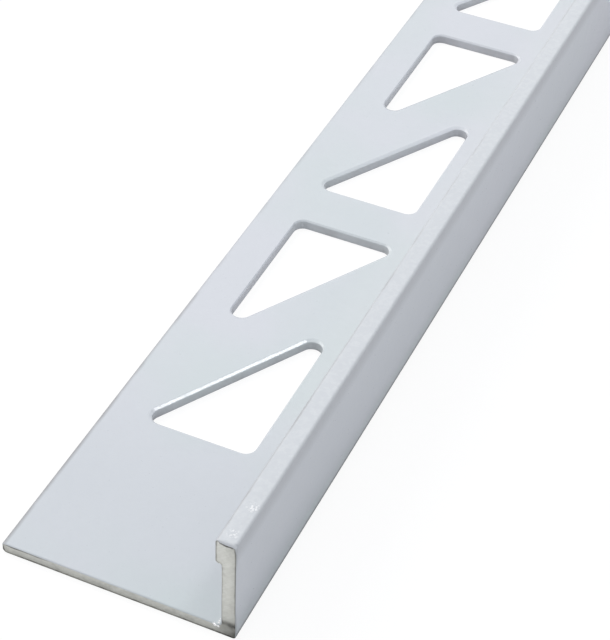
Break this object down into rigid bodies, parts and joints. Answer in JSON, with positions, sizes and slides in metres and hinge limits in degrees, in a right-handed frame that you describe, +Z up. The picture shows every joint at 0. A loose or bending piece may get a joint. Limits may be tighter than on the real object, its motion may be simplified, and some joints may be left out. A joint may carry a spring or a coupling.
{
  "type": "tile edge trim",
  "caption": "L-shaped edge trim: a perforated leg is bedded in adhesive under the tile, and an upright leg with a small inward lip covers the tile's edge.",
  "frame": {"origin": "centre of the bounding box, on the underside of the anchoring leg", "axes": "+Y along the stock, away from the end that the picture shows; +X from the leg's free edge to the upright; +Z up"},
  "size_m": [0.0244, 1, 0.0125],
  "materials": {
    "coated_metal": "satin light grey powder coat over aluminium, bare on the sawn ends"
  },
  "bodies": {
    "root": {"edge_trim": "coated_metal"}
  },
  "joints": []
}
